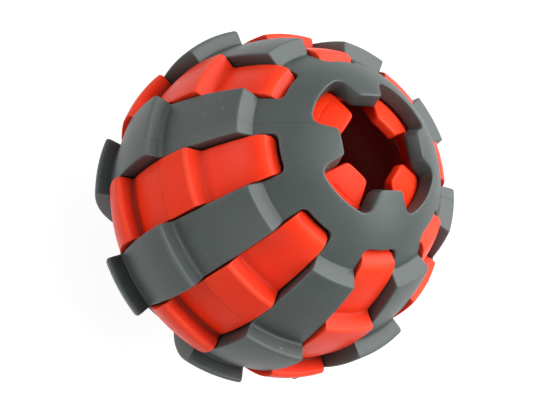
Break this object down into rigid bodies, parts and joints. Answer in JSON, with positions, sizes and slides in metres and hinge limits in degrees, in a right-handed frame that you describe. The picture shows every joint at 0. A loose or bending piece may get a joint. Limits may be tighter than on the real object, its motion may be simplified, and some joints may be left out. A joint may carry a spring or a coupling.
{
  "type": "treat dispensing dog toy ball",
  "caption": "Hollow rubber ball in a slotted rubber cage with stepped tread, whose two toothed mouths have sprung flaps that let treats out as it rolls.",
  "frame": {"origin": "centre of the ball, halfway between its two mouths", "axes": "+Z along the axis through both mouths, towards the mouth that faces the viewer; the ridges of the tread face +Z; grey bands lie at whole steps of 45 degrees from +X, red bands halfway between"},
  "size_m": [0.0982, 0.0982, 0.0988],
  "materials": {
    "grey_rubber": "matte moulded rubber",
    "red_rubber": "satin moulded rubber"
  },
  "bodies": {
    "shell": {"outer_cage": "grey_rubber", "inner_ball": "red_rubber"},
    "top_flap_1": {"top_flap_1": "red_rubber"},
    "top_flap_2": {"top_flap_2": "red_rubber"},
    "top_flap_3": {"top_flap_3": "red_rubber"},
    "top_flap_4": {"top_flap_4": "red_rubber"},
    "bottom_flap_1": {"bottom_flap_1": "red_rubber"},
    "bottom_flap_2": {"bottom_flap_2": "red_rubber"},
    "bottom_flap_3": {"bottom_flap_3": "red_rubber"},
    "bottom_flap_4": {"bottom_flap_4": "red_rubber"}
  },
  "joints": [
    {"name": "top_hinge_1", "type": "hinge", "parent": "shell", "child": "top_flap_1", "pos_m": [0.01312, 0.00543, 0.04096], "axis": [-0.3827, 0.9239, 0], "range_deg": [-45, 35], "stiffness_Nm_per_rad": 0.01},
    {"name": "top_hinge_2", "type": "hinge", "parent": "shell", "child": "top_flap_2", "pos_m": [-0.00543, 0.01312, 0.04096], "axis": [-0.9239, -0.3827, 0], "range_deg": [-45, 35], "stiffness_Nm_per_rad": 0.01},
    {"name": "top_hinge_3", "type": "hinge", "parent": "shell", "child": "top_flap_3", "pos_m": [-0.01312, -0.00543, 0.04096], "axis": [0.3827, -0.9239, 0], "range_deg": [-45, 35], "stiffness_Nm_per_rad": 0.01},
    {"name": "top_hinge_4", "type": "hinge", "parent": "shell", "child": "top_flap_4", "pos_m": [0.00543, -0.01312, 0.04096], "axis": [0.9239, 0.3827, 0], "range_deg": [-45, 35], "stiffness_Nm_per_rad": 0.01},
    {"name": "bottom_hinge_1", "type": "hinge", "parent": "shell", "child": "bottom_flap_1", "pos_m": [0.01312, 0.00543, -0.04096], "axis": [0.3827, -0.9239, 0], "range_deg": [-45, 35], "stiffness_Nm_per_rad": 0.01},
    {"name": "bottom_hinge_2", "type": "hinge", "parent": "shell", "child": "bottom_flap_2", "pos_m": [-0.00543, 0.01312, -0.04096], "axis": [0.9239, 0.3827, 0], "range_deg": [-45, 35], "stiffness_Nm_per_rad": 0.01},
    {"name": "bottom_hinge_3", "type": "hinge", "parent": "shell", "child": "bottom_flap_3", "pos_m": [-0.01312, -0.00543, -0.04096], "axis": [-0.3827, 0.9239, 0], "range_deg": [-45, 35], "stiffness_Nm_per_rad": 0.01},
    {"name": "bottom_hinge_4", "type": "hinge", "parent": "shell", "child": "bottom_flap_4", "pos_m": [0.00543, -0.01312, -0.04096], "axis": [-0.9239, -0.3827, 0], "range_deg": [-45, 35], "stiffness_Nm_per_rad": 0.01}
  ]
}
